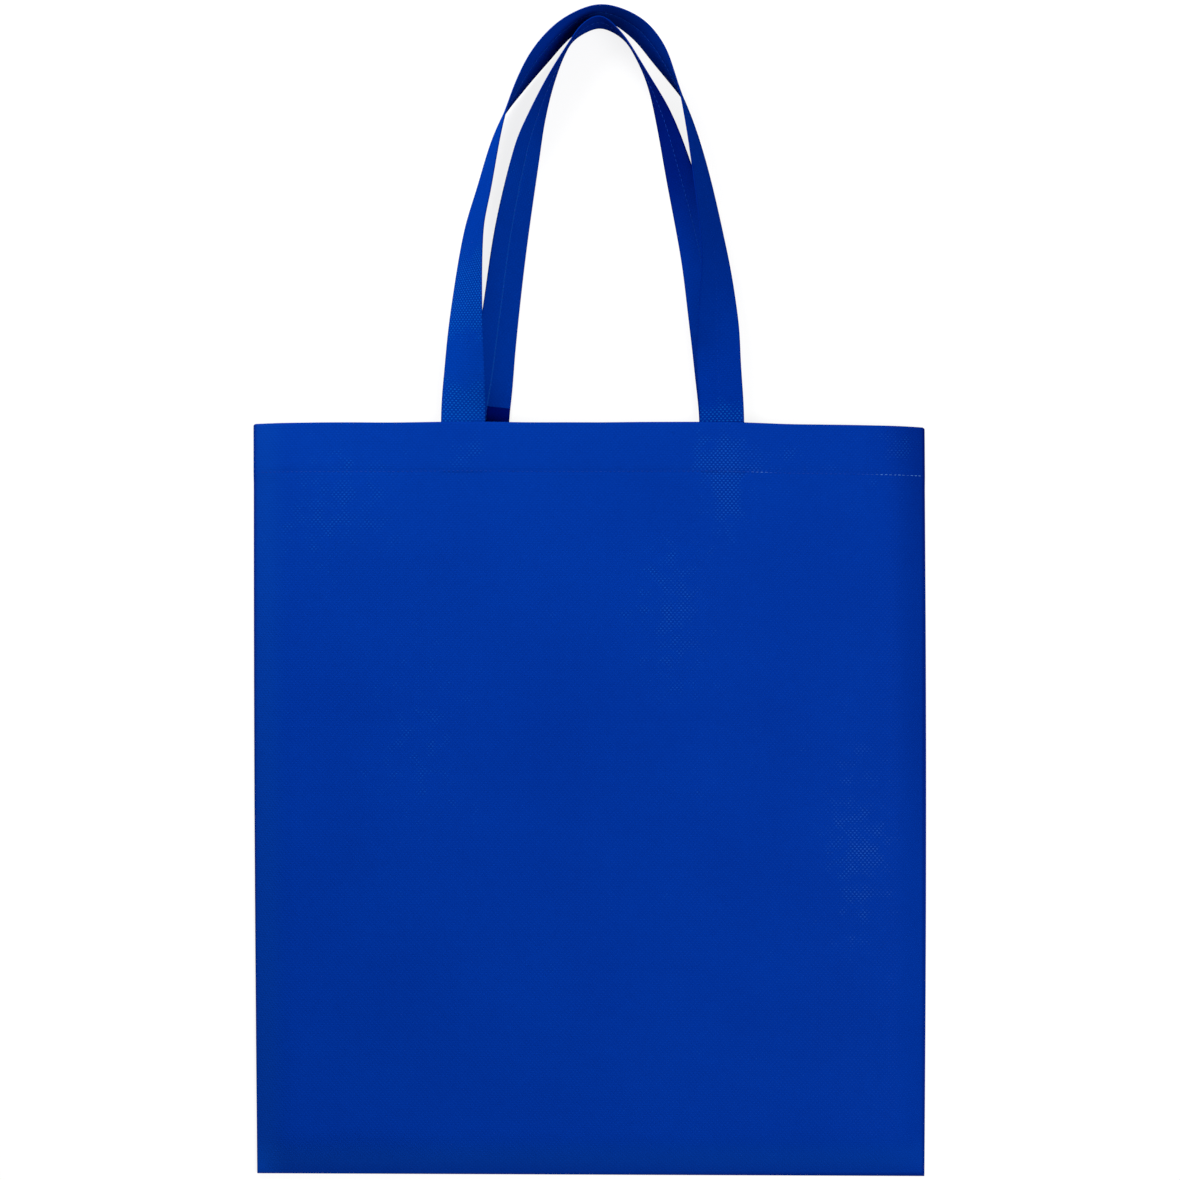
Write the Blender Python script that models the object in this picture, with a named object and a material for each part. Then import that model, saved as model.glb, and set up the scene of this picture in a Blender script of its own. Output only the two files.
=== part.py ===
# Non-woven shopping bag, empty and lying on its back panel.
# The body is one sheet, folded at the bottom, sewn and turned at both sides and hemmed at the
# mouth. Two folded straps are sewn to the insides of the hems and stand on edge above the mouth.
# Metres, +Z up, +Y from the bottom fold to the handles, origin under the middle of the part.

from math import cos, hypot, pi, radians, sin, sqrt

import bmesh
import bpy
from mathutils import Vector

# Bag body
BAG_WIDTH = 0.380           # over both side seams
BAG_HEIGHT = 0.4262         # bottom fold to mouth
BAG_DEPTH = 0.012           # floor to the top of the front panel
SHEET = 0.0005              # one ply of the non-woven sheet
HEM_DEPTH = 0.030           # how far the mouth edge is folded inwards
SEAM_ALLOWANCE = 0.008      # sheet turned inside behind each side seam
SEAM_ROLL = 0.0007          # radius of each panel's edge where it turns into a seam
SEAM_GROOVE = 0.0007        # depth of the groove between the two panels' edges
LEFT_SLOPE = 0.016          # width over which the front panel comes down to the left seam
RIGHT_SLOPE = 0.024         # and to the right seam
BOTTOM_SLOPE = 0.014        # and to the bottom fold
LEFT_TAPER = 0.002          # left seam leans in by this much at the bottom
LEFT_CORNER_DROP = 0.0009   # mouth corners hang below the middle of the mouth
RIGHT_CORNER_DROP = 0.0028
STRAP_LIFT = 0.0008         # the mouth edge rises by this much at a handle

# Handles
STRAP_WIDTH = 0.025
STRAP_THICKNESS = 0.0012
STRAP_SEAM_SHIFT = 0.0008   # centre seam of a strap, off the strap's middle
STRAP_SEAM_WIDTH = 0.0016
STRAP_SEAM_DEPTH = 0.0004
STRAP_END_MARGIN = 0.0015   # from a strap's end to the lower edge of the hem
HANDLE_SPACING = 0.1463     # between the middles of a handle's two legs at the mouth
HANDLE_SHIFT = 0.0019       # middle of the front handle, right of the middle of the bag
HANDLE_RISE = 0.2314        # mouth to the middle of the strap at the top of the front handle
BACK_LEG_STEP = 0.0132      # left leg of the back handle, inside the left leg of the front one
NEST_STEP = 0.0052          # top of the back handle, inside the top of the front one
FLOOR_GAP = 0.0005          # under the lower edge of a strap that stands on edge
CLEARANCE = 0.0003          # between a strap and the hem it is sewn to

# Steps of the meshes
MIDDLE_STEPS = 8            # across the level part of a panel
LENGTH_STEPS = 9            # along the level part of a panel
STRAP_STEPS = 84            # along each handle above the mouth
LEFT_PARTS = (0, 0.22, 0.45, 0.7)           # of the slope to the left seam
RIGHT_PARTS = (0.75, 0.5, 0.3, 0.14, 0)     # of the slope to the right seam
BOTTOM_PARTS = (0.25, 0.45, 0.7)            # of the slope to the bottom fold
FOLD_TURNS = (20, 50)                       # degrees round the bottom fold
RIM_TURNS = (45, 90, 135)                   # degrees round the fold of the hem
ROUND_TURN = radians(45)                    # the middle of each small rounded edge

# A handle is a smooth curve through these places. Each has its distance from the handle's
# middle in half spacings, its distance above the mouth in rises, the height of the strap's
# lower edge in strap widths, and the strap's roll in degrees: 0 lies flat, 90 stands on edge.
FRONT_PLACES = (
    (-0.984, 0.125, 0.44, 21),
    (-0.967, 0.270, 0.44, 42),
    (-0.914, 0.462, 0.28, 61),
    (-0.842, 0.561, 0.18, 67),
    (-0.690, 0.733, 0.06, 80),
    (-0.522, 0.832, 0.02, 98),
    (-0.375, 0.901, 0.01, 107),
    (-0.190, 0.963, 0.00, 103),
    (0.065, 1.000, 0.00, 94),
    (0.330, 0.962, 0.00, 104),
    (0.492, 0.901, 0.01, 103),
    (0.616, 0.832, 0.02, 90),
    (0.688, 0.785, 0.06, 82),
    (0.815, 0.635, 0.20, 67),
    (0.931, 0.413, 0.42, 51),
    (0.960, 0.268, 0.49, 26),
    (0.970, 0.161, 0.48, 0),
)
BACK_PLACES = (
    (-0.944, 0.128, 0.03, 26),
    (-0.879, 0.279, 0.00, 37),
    (-0.785, 0.481, 0.00, 43),
    (-0.651, 0.681, 0.00, 58),
    (-0.576, 0.756, 0.00, 71),
    (-0.447, 0.856, 0.00, 86),
    (-0.280, 0.952, 0.00, 97),
    (-0.192, 0.979, 0.00, 92),
    (-0.040, 1.000, 0.00, 89),
    (0.112, 0.975, 0.00, 96),
    (0.205, 0.945, 0.00, 98),
    (0.368, 0.856, 0.00, 91),
    (0.506, 0.756, 0.00, 73),
    (0.629, 0.631, 0.00, 57),
    (0.802, 0.431, 0.00, 37),
    (0.885, 0.279, 0.00, 27),
    (0.948, 0.153, 0.03, 14),
)


def share(value, start, length):
    # how far value is from start to start + length, from 0 to 1
    return min(1.0, max(0.0, (value - start) / length))


def quarter_wave(part):
    return sin(pi / 2 * part)


def bell(distance, width):
    return cos(pi / 2 * min(1.0, abs(distance) / width)) ** 2


# Bag body: a closed cup of rings, from the bottom fold up the outside, over the hem's fold at
# the mouth and down the inside. Here y is 0 at the mouth and x is 0 in the middle of the bag.

def front_height(x, y, roll):
    edge = 4 * roll
    left = quarter_wave(share(x, -BAG_WIDTH / 2, LEFT_SLOPE))
    right = quarter_wave(share(-x, -BAG_WIDTH / 2, RIGHT_SLOPE))
    bottom = quarter_wave(share(y, -BAG_HEIGHT, BOTTOM_SLOPE))
    return edge + (BAG_DEPTH - edge) * left * right * bottom


def front_inside(x, y, roll, wall):
    # the wall keeps its thickness square to the panel, so it is deeper where the panel slopes
    step = 0.0001
    slope_x = (front_height(x + step, y, roll) - front_height(x - step, y, roll)) / (2 * step)
    slope_y = (front_height(x, y + step, roll) - front_height(x, y - step, roll)) / (2 * step)
    return front_height(x, y, roll) - wall * sqrt(1 + slope_x ** 2 + slope_y ** 2)


def across(limit):
    # places across the bag, close together where the front panel slopes
    left = [-limit + LEFT_SLOPE * part for part in LEFT_PARTS]
    right = [limit - RIGHT_SLOPE * part for part in RIGHT_PARTS]
    start = -limit + LEFT_SLOPE
    span = limit - RIGHT_SLOPE - start
    middle = [start + span * step / MIDDLE_STEPS for step in range(MIDDLE_STEPS + 1)]
    return left + middle + right


def closed_ring(y, front, right_edge, back_height):
    # front panel left to right, right seam, back panel right to left, left seam
    xs = [x for x, _ in front]
    back = [(x, back_height) for x in reversed(xs)]
    left_edge = [(-x, z) for x, z in reversed(right_edge)]
    return [Vector((x, y, z)) for x, z in front + right_edge + back + left_edge]


def outer_ring(y, roll):
    half = BAG_WIDTH / 2
    front = [(x, front_height(x, y, roll)) for x in across(half - roll)]
    lip = half - roll * (1 - cos(ROUND_TURN))
    dip = roll * (1 - sin(ROUND_TURN))
    right_edge = [
        (half, 3 * roll),
        (lip, 2 * roll + dip),
        (half - SEAM_GROOVE, 2 * roll),
        (lip, 2 * roll - dip),
        (half, roll),
    ]
    return closed_ring(y, front, right_edge, 0)


def inner_ring(y, roll, wall):
    # the two turned-in plies lie together as a fin along each side seam
    half = BAG_WIDTH / 2
    root = half - SEAM_GROOVE - roll
    tip = half - SEAM_ALLOWANCE
    middle = 2 * roll
    front = [(x, front_inside(x, y, roll, wall)) for x in across(root)]
    right_edge = [
        (root, middle + SHEET),
        (tip, middle + SHEET),
        (tip - SHEET, middle),
        (tip, middle - SHEET),
        (root, middle - SHEET),
    ]
    return closed_ring(y, front, right_edge, wall)


def between_rings(first, second, part, y):
    ring = [a.lerp(b, part) for a, b in zip(first, second)]
    for point in ring:
        point.y = y
    return ring


def fold_ring(y, roll, squeeze):
    # a ring of the bottom fold, squeezed towards the middle of its height
    ring = outer_ring(y, roll)
    for point in ring:
        point.z = 2 * roll + (point.z - 2 * roll) * squeeze
    return ring


def body_rings():
    hem_roll = SEAM_ROLL + SHEET / 2
    hem_wall = 2 * SHEET
    fold = 2 * SEAM_ROLL
    bottom = -BAG_HEIGHT
    hem_line = -HEM_DEPTH
    level = bottom + BOTTOM_SLOPE
    span = hem_line - level
    slope_lengths = [bottom + BOTTOM_SLOPE * part for part in BOTTOM_PARTS]
    panel_lengths = [level + span * step / LENGTH_STEPS for step in range(LENGTH_STEPS)]
    lengths = slope_lengths + panel_lengths + [hem_line - SHEET]
    nose = cos(radians(FOLD_TURNS[0]))
    outside = []
    for turn in FOLD_TURNS:
        y = bottom + fold * (nose - cos(radians(turn)))
        outside.append(fold_ring(y, SEAM_ROLL, sin(radians(turn))))
    outside += [outer_ring(y, SEAM_ROLL) for y in [bottom + fold] + lengths]
    outside += [outer_ring(y, hem_roll) for y in (hem_line, hem_line / 2, -hem_wall)]
    inside = [inner_ring(y, hem_roll, hem_wall) for y in (-hem_wall, hem_line / 2, hem_line)]
    inside += [inner_ring(y, SEAM_ROLL, SHEET) for y in reversed([bottom + fold] + lengths)]
    rim = []
    for turn in RIM_TURNS:
        part = (1 - cos(radians(turn))) / 2
        y = -hem_wall * (1 - sin(radians(turn))) / 2
        outer = outer_ring(y, hem_roll)
        inner = inner_ring(y, hem_roll, hem_wall)
        rim.append(between_rings(outer, inner, part, y))
    return outside + rim + inside


def settle(point):
    # the lean of the left seam and the shape of the mouth edge
    height = share(point.y, -BAG_HEIGHT, BAG_HEIGHT)
    left = share(-point.x, 0, BAG_WIDTH / 2)
    right = share(point.x, 0, BAG_WIDTH / 2)
    lift = 0.0
    for leg in (-1, 1):
        leg_x = HANDLE_SHIFT + leg * HANDLE_SPACING / 2
        lift += STRAP_LIFT * bell(point.x - leg_x, 2 * STRAP_WIDTH)
    drop = LEFT_CORNER_DROP * left ** 2 + RIGHT_CORNER_DROP * right ** 3
    point.x += LEFT_TAPER * left * (1 - height)
    point.y += (lift - drop) * height


# Handles: a strap's section, carried along a smooth path.

def strap_section():
    # across the strap and square to it; the centre seam is a groove in the inner face
    half = STRAP_WIDTH / 2
    face = STRAP_THICKNESS / 2
    flat = half - face
    corner = half - face * (1 - cos(ROUND_TURN))
    round_face = face * sin(ROUND_TURN)
    seam = STRAP_SEAM_SHIFT
    lip = STRAP_SEAM_WIDTH / 2
    return [
        (-half, 0),
        (-corner, round_face),
        (-flat, face),
        (0, face),
        (flat, face),
        (corner, round_face),
        (half, 0),
        (corner, -round_face),
        (flat, -face),
        (seam + lip, -face),
        (seam, -face + STRAP_SEAM_DEPTH),
        (seam - lip, -face),
        (-flat, -face),
        (-corner, -round_face),
    ]


def smooth_curve(places, steps):
    # a Catmull-Rom curve through the places; it leaves and arrives straight along Y and level
    knots = [0.0]
    for first, second in zip(places, places[1:]):
        knots.append(knots[-1] + hypot(second[0] - first[0], second[1] - first[1]))
    slopes = [(0.0, 1.0, 0.0, 0.0)]
    for i in range(1, len(places) - 1):
        span = knots[i + 1] - knots[i - 1]
        slopes.append(tuple((b - a) / span for a, b in zip(places[i - 1], places[i + 1])))
    slopes.append((0.0, -1.0, 0.0, 0.0))
    curve = []
    piece = 0
    for step in range(steps + 1):
        at = knots[-1] * step / steps
        while piece < len(places) - 2 and at > knots[piece + 1]:
            piece += 1
        length = knots[piece + 1] - knots[piece]
        t = (at - knots[piece]) / length
        weights = (2 * t ** 3 - 3 * t ** 2 + 1, -2 * t ** 3 + 3 * t ** 2)
        pulls = ((t ** 3 - 2 * t ** 2 + t) * length, (t ** 3 - t ** 2) * length)
        ends = zip(places[piece], places[piece + 1], slopes[piece], slopes[piece + 1])
        curve.append(tuple(
            a * weights[0] + b * weights[1] + a_slope * pulls[0] + b_slope * pulls[1]
            for a, b, a_slope, b_slope in ends
        ))
    return curve


def handle_path(left_x, right_x, rise, strap_level, places):
    # x, y, height of the strap's middle, and roll, from one end inside the hem to the other
    middle = (left_x + right_x) / 2
    half = (right_x - left_x) / 2
    stations = [(left_x, 0.0, strap_level, 0.0)]
    for side, up, lower_edge, roll in places:
        height = FLOOR_GAP + STRAP_WIDTH * (lower_edge + sin(radians(roll)) / 2)
        stations.append((middle + half * side, rise * up, height, roll))
    stations.append((right_x, 0.0, strap_level, 0.0))
    end = -HEM_DEPTH + STRAP_END_MARGIN
    first = (left_x, end, strap_level, 0.0)
    last = (right_x, end, strap_level, 0.0)
    return [first] + smooth_curve(stations, STRAP_STEPS) + [last]


def handle_rings(path, upper_edge_side):
    # upper_edge_side is 1 where the edge on the inside of the loop turns up, and -1 where the
    # outer edge does
    section = strap_section()
    rings = []
    for i, (x, y, z, roll) in enumerate(path):
        before = path[max(0, i - 1)]
        after = path[min(len(path) - 1, i + 1)]
        along = (Vector(after[:3]) - Vector(before[:3])).normalized()
        inward = Vector((along.y, -along.x, 0)).normalized()
        up = inward.cross(along)
        width = inward * upper_edge_side * cos(radians(roll)) + up * sin(radians(roll))
        outward = width.cross(along)
        rings.append([Vector((x, y, z)) + width * s + outward * n for s, n in section])
    return rings


# Objects

def material(name, colour, roughness):
    result = bpy.data.materials.new(name)
    result.use_nodes = True
    shader = result.node_tree.nodes["Principled BSDF"]
    shader.inputs["Base Color"].default_value = (*colour, 1)
    shader.inputs["Roughness"].default_value = roughness
    shader.inputs["Metallic"].default_value = 0
    return result


def skin(name, rings, finish, parent):
    # one closed mesh: a band of quads between each ring and the next, and a face at both ends
    mesh = bmesh.new()
    rows = [[mesh.verts.new(point) for point in ring] for ring in rings]
    count = len(rows[0])
    for row, following in zip(rows, rows[1:]):
        for i in range(count):
            after = (i + 1) % count
            mesh.faces.new((row[i], row[after], following[after], following[i]))
    mesh.faces.new(reversed(rows[0]))
    mesh.faces.new(rows[-1])
    bmesh.ops.recalc_face_normals(mesh, faces=mesh.faces)
    data = bpy.data.meshes.new(name)
    mesh.to_mesh(data)
    mesh.free()
    data.shade_smooth()
    data.set_sharp_from_angle(angle=radians(40))
    data.materials.append(finish)
    result = bpy.data.objects.new(name, data)
    bpy.context.scene.collection.objects.link(result)
    result.parent = parent
    return result


def middle_of(objects):
    corners = [vertex.co for item in objects for vertex in item.data.vertices]
    middle = [(min(c[axis] for c in corners) + max(c[axis] for c in corners)) / 2 for axis in (0, 1)]
    return Vector((*middle, 0))


def build():
    for item in list(bpy.data.objects):
        bpy.data.objects.remove(item)
    bag = bpy.data.objects.new("shopping_bag", None)
    bpy.context.scene.collection.objects.link(bag)

    body_skin = body_rings()
    for ring in body_skin:
        for point in ring:
            settle(point)
    sheet_finish = material("non_woven_body", (0.002, 0.034, 0.33), 0.62)
    body = skin("bag_body", body_skin, sheet_finish, bag)

    left = HANDLE_SHIFT - HANDLE_SPACING / 2
    right = HANDLE_SHIFT + HANDLE_SPACING / 2
    inset = 2 * SHEET + CLEARANCE + STRAP_THICKNESS / 2
    front_path = handle_path(left, right, HANDLE_RISE, BAG_DEPTH - inset, FRONT_PLACES)
    front_finish = material("non_woven_front_strap", (0.002, 0.036, 0.34), 0.6)
    front = skin("front_handle", handle_rings(front_path, 1), front_finish, bag)
    back_left = left + BACK_LEG_STEP
    back_path = handle_path(back_left, right, HANDLE_RISE - NEST_STEP, inset, BACK_PLACES)
    back_finish = material("non_woven_back_strap", (0.002, 0.036, 0.34), 0.6)
    back = skin("back_handle", handle_rings(back_path, -1), back_finish, bag)

    bag.location = -middle_of([body, front, back])


build()
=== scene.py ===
# Non-woven shopping bag, empty and lying on its back panel, seen from straight above.
# Metres; +Y runs from the bottom fold past the mouth to the handles, +Z up.
from math import cos, exp, hypot, pi, radians, sin, sqrt

import bmesh
import bpy
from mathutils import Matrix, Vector, noise


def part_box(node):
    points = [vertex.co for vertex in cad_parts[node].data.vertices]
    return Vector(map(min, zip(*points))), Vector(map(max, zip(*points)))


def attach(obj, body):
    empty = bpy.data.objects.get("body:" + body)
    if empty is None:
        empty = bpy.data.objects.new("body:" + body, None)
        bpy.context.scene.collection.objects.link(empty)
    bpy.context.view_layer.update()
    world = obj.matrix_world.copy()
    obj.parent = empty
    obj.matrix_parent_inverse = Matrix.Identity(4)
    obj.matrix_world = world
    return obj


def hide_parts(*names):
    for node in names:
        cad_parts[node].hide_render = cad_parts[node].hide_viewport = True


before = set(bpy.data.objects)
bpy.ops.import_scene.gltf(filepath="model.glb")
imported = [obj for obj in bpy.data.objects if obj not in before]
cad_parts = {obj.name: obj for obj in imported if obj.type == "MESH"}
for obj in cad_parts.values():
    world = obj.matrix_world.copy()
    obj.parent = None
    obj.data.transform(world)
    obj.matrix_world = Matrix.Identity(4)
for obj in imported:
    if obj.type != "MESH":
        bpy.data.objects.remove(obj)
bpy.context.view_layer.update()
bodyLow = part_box("bag_body")[0]


# small helpers for objects, shader trees and geometry trees

def addObject(name, data):
    result = bpy.data.objects.new(name, data)
    bpy.context.scene.collection.objects.link(result)
    return result


def addNode(tree, kind, **settings):
    node = tree.nodes.new(kind)
    for name, value in settings.items():
        setattr(node, name, value)
    return node


def join(tree, source, target):
    tree.links.new(source, target)


def mathNode(tree, operation, *values):
    node = addNode(tree, "ShaderNodeMath", operation=operation)
    for slot, value in enumerate(values):
        if isinstance(value, (int, float)):
            node.inputs[slot].default_value = value
        else:
            join(tree, value, node.inputs[slot])
    return node.outputs[0]


def mapRange(tree, value, low, high, newLow, newHigh, smooth=True):
    node = addNode(tree, "ShaderNodeMapRange", interpolation_type="SMOOTHSTEP" if smooth else "LINEAR")
    join(tree, value, node.inputs["Value"])
    for name, number in (("From Min", low), ("From Max", high), ("To Min", newLow), ("To Max", newHigh)):
        node.inputs[name].default_value = number
    return node.outputs["Result"]


def noiseNode(tree, vector, scale, detail=3.0, roughness=0.55):
    node = addNode(tree, "ShaderNodeTexNoise")
    node.inputs["Scale"].default_value = scale
    node.inputs["Detail"].default_value = detail
    node.inputs["Roughness"].default_value = roughness
    join(tree, vector, node.inputs["Vector"])
    return node.outputs["Fac"]


# the sheet's own surface: bonded points in staggered rows, loose fibres between them, and patches where the
# points get a painted highlight

bonding = {
    "pitchAcross": 0.0023,
    "rowPitch": 0.00128,
    "pointAcross": 0.27,  # half a bonded point, in pitches
    "pointAlong": 0.36,
    "pointEdge": (0.45, 1.25),
    "fibreScale": 2600.0,
    "fibreStretch": 0.28,
    "fibreHeight": 0.35,
    "cloudScale": 170.0,
    "patchScale": 14.0,
    "patchAmount": 0.45,
    "patchEdge": (0.92, 1.36),
    "breakScale": 120.0,
    "breakAmount": 1.1,
    "plainGlint": 0.12,  # how much the points still show outside the patches
    "cloudTone": 0.3,
    "fibreTone": 0.25,
    "toneSpan": (0.36, 0.64),
}


def makeBondGroup():
    group = bpy.data.node_groups.new("pointBondedSheet", "ShaderNodeTree")
    sockets = group.interface
    inputs = {
        "Pitch Across": bonding["pitchAcross"],
        "Row Pitch": bonding["rowPitch"],
        "Patch Scale": bonding["patchScale"],
        "Painted Glint": 0.0,
    }
    for name, value in inputs.items():
        socket = sockets.new_socket(name=name, in_out="INPUT", socket_type="NodeSocketFloat")
        socket.default_value = value
    sockets.new_socket(name="Vector", in_out="INPUT", socket_type="NodeSocketVector")
    for name in ("Bond", "Tone", "Glint", "Gap", "Height"):
        sockets.new_socket(name=name, in_out="OUTPUT", socket_type="NodeSocketFloat")
    start = addNode(group, "NodeGroupInput")
    end = addNode(group, "NodeGroupOutput")
    vector = start.outputs["Vector"]
    parts = addNode(group, "ShaderNodeSeparateXYZ")
    join(group, vector, parts.inputs[0])

    # every other row of points is shifted by half a pitch
    row = mathNode(group, "DIVIDE", parts.outputs["Y"], start.outputs["Row Pitch"])
    rowNumber = mathNode(group, "FLOOR", row)
    shift = mathNode(group, "MULTIPLY", mathNode(group, "FLOORED_MODULO", rowNumber, 2.0), 0.5)
    across = mathNode(group, "DIVIDE", parts.outputs["X"], start.outputs["Pitch Across"])
    across = mathNode(group, "ADD", across, shift)
    cellX = mathNode(group, "SUBTRACT", mathNode(group, "FRACT", across), 0.5)
    cellY = mathNode(group, "SUBTRACT", mathNode(group, "FRACT", row), 0.5)
    farX = mathNode(group, "DIVIDE", cellX, bonding["pointAcross"])
    farY = mathNode(group, "DIVIDE", cellY, bonding["pointAlong"])
    squares = mathNode(group, "ADD", mathNode(group, "POWER", mathNode(group, "ABSOLUTE", farX), 2.0),
                       mathNode(group, "POWER", mathNode(group, "ABSOLUTE", farY), 2.0))
    bond = mapRange(group, squares, *bonding["pointEdge"], 1.0, 0.0)

    # fibres lie mostly along the sheet's length; clouds are where more of them have fallen
    stretch = addNode(group, "ShaderNodeMapping")
    stretch.inputs["Scale"].default_value = (1.0, bonding["fibreStretch"], 1.0)
    join(group, vector, stretch.inputs["Vector"])
    fibre = noiseNode(group, stretch.outputs[0], bonding["fibreScale"], 4.0, 0.7)
    cloud = noiseNode(group, vector, bonding["cloudScale"], 3.0, 0.6)
    patchNode = addNode(group, "ShaderNodeTexNoise")
    patchNode.inputs["Detail"].default_value = 2.0
    join(group, vector, patchNode.inputs["Vector"])
    join(group, start.outputs["Patch Scale"], patchNode.inputs["Scale"])
    patch = patchNode.outputs["Fac"]
    breaks = noiseNode(group, vector, bonding["breakScale"], 2.0, 0.6)
    # the painted glint value on the sheet widens the patches of painted highlight
    ragged = mathNode(group, "MULTIPLY_ADD", patch, bonding["patchAmount"], start.outputs["Painted Glint"])
    ragged = mathNode(group, "MULTIPLY_ADD", breaks, bonding["breakAmount"], ragged)
    patches = mapRange(group, ragged, *bonding["patchEdge"], 0.0, 1.0)

    tone = mathNode(group, "ADD", mathNode(group, "MULTIPLY", cloud, bonding["cloudTone"]),
                    mathNode(group, "MULTIPLY", fibre, bonding["fibreTone"]))
    tone = mathNode(group, "MULTIPLY_ADD", patch, bonding["patchAmount"], tone)
    tone = mapRange(group, tone, *bonding["toneSpan"], 0.0, 1.0, smooth=False)
    join(group, tone, end.inputs["Tone"])
    shown = mathNode(group, "MULTIPLY_ADD", patches, 1 - bonding["plainGlint"], bonding["plainGlint"])
    join(group, mathNode(group, "MULTIPLY", bond, shown), end.inputs["Glint"])
    between = mathNode(group, "SUBTRACT", 1.0, bond)
    join(group, mathNode(group, "MULTIPLY", between, patches), end.inputs["Gap"])
    join(group, bond, end.inputs["Bond"])
    relief = mathNode(group, "SUBTRACT", mathNode(group, "MULTIPLY", fibre, bonding["fibreHeight"]), bond)
    join(group, relief, end.inputs["Height"])
    return group


bondGroup = makeBondGroup()

sheetLook = {
    "deep": (0.0, 0.0290, 0.312),
    "plain": (0.0, 0.0340, 0.345),
    "glint": (0.004, 0.095, 0.520),
    "gap": (0.0, 0.0230, 0.255),
    "shade": (0.0, 0.0010, 0.110),
    "roughness": 0.66,
    "bondRoughness": 0.42,
    "specular": 0.008,
    "coat": 0.06,
    "coatRoughness": 0.32,
    "bumpDistance": 0.00018,
    "bumpStrength": 0.6,
    "gapShare": 0.5,
    "glintShare": 0.62,
    "paintedLightShare": 0.5,
}


def colourMix(tree, factor, first, second):
    node = addNode(tree, "ShaderNodeMix", data_type="RGBA")
    for name, value in (("A", first), ("B", second)):
        if isinstance(value, tuple):
            node.inputs[name].default_value = (*value, 1)
        else:
            join(tree, value, node.inputs[name])
    join(tree, factor, node.inputs["Factor"])
    return node.outputs["Result"]


def sheetMaterial(name, look, patchScale):
    material = bpy.data.materials.new(name)
    material.use_nodes = True
    tree = material.node_tree
    shader = tree.nodes["Principled BSDF"]
    shader.inputs["Metallic"].default_value = 0.0
    shader.inputs["Specular IOR Level"].default_value = look["specular"]
    shader.inputs["Coat Roughness"].default_value = look["coatRoughness"]
    place = addNode(tree, "ShaderNodeUVMap", uv_map="sheetMap")
    paintedGlint = addNode(tree, "ShaderNodeAttribute", attribute_name="paintedGlint")
    paintedLight = addNode(tree, "ShaderNodeAttribute", attribute_name="paintedLight")
    shaded = addNode(tree, "ShaderNodeAttribute", attribute_name="shaded")
    bonds = addNode(tree, "ShaderNodeGroup")
    bonds.node_tree = bondGroup
    bonds.inputs["Patch Scale"].default_value = patchScale
    join(tree, place.outputs["UV"], bonds.inputs["Vector"])
    join(tree, paintedGlint.outputs["Fac"], bonds.inputs["Painted Glint"])
    # in the patches the bonded points get a painted highlight (the glint colour) and the gaps between them
    # painted shade; the next mark paints light towards the glint colour, and the shaded mark paints shade
    gap = mathNode(tree, "MULTIPLY", bonds.outputs["Gap"], look["gapShare"])
    glint = mathNode(tree, "MULTIPLY", bonds.outputs["Glint"], look["glintShare"])
    lightened = mathNode(tree, "MULTIPLY", paintedLight.outputs["Fac"], look["paintedLightShare"])
    colour = colourMix(tree, bonds.outputs["Tone"], look["deep"], look["plain"])
    colour = colourMix(tree, gap, colour, look["gap"])
    colour = colourMix(tree, glint, colour, look["glint"])
    colour = colourMix(tree, lightened, colour, look["glint"])
    colour = colourMix(tree, shaded.outputs["Fac"], colour, look["shade"])
    join(tree, colour, shader.inputs["Base Color"])
    span = (look["roughness"], look["bondRoughness"])
    rough = mapRange(tree, bonds.outputs["Bond"], 0.0, 1.0, *span, smooth=False)
    join(tree, rough, shader.inputs["Roughness"])
    coat = mathNode(tree, "MULTIPLY", bonds.outputs["Glint"], look["coat"])
    join(tree, coat, shader.inputs["Coat Weight"])
    bump = addNode(tree, "ShaderNodeBump")
    bump.inputs["Strength"].default_value = look["bumpStrength"]
    bump.inputs["Distance"].default_value = look["bumpDistance"]
    join(tree, bonds.outputs["Height"], bump.inputs["Height"])
    join(tree, bump.outputs["Normal"], shader.inputs["Normal"])
    return material


threadLook = {
    "bright": (0.100, 0.290, 0.750),
    "plain": (0.001, 0.042, 0.370),
    "roughness": 0.45,
    "specular": 0.12,
    "shortRun": 0.097,  # middle of a short run of bright stitches, across the bag
    "shortRunHalf": (0.004, 0.010),
    "shortRunMost": 0.7,
    "rightRun": (0.150, 0.170),
    "runScale": 160.0,
    "runEdge": (0.40, 0.62),
    "runLeast": 0.2,
    "twistScale": 900.0,
    "bumpStrength": 0.4,
    "bumpDistance": 0.0001,
}


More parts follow.
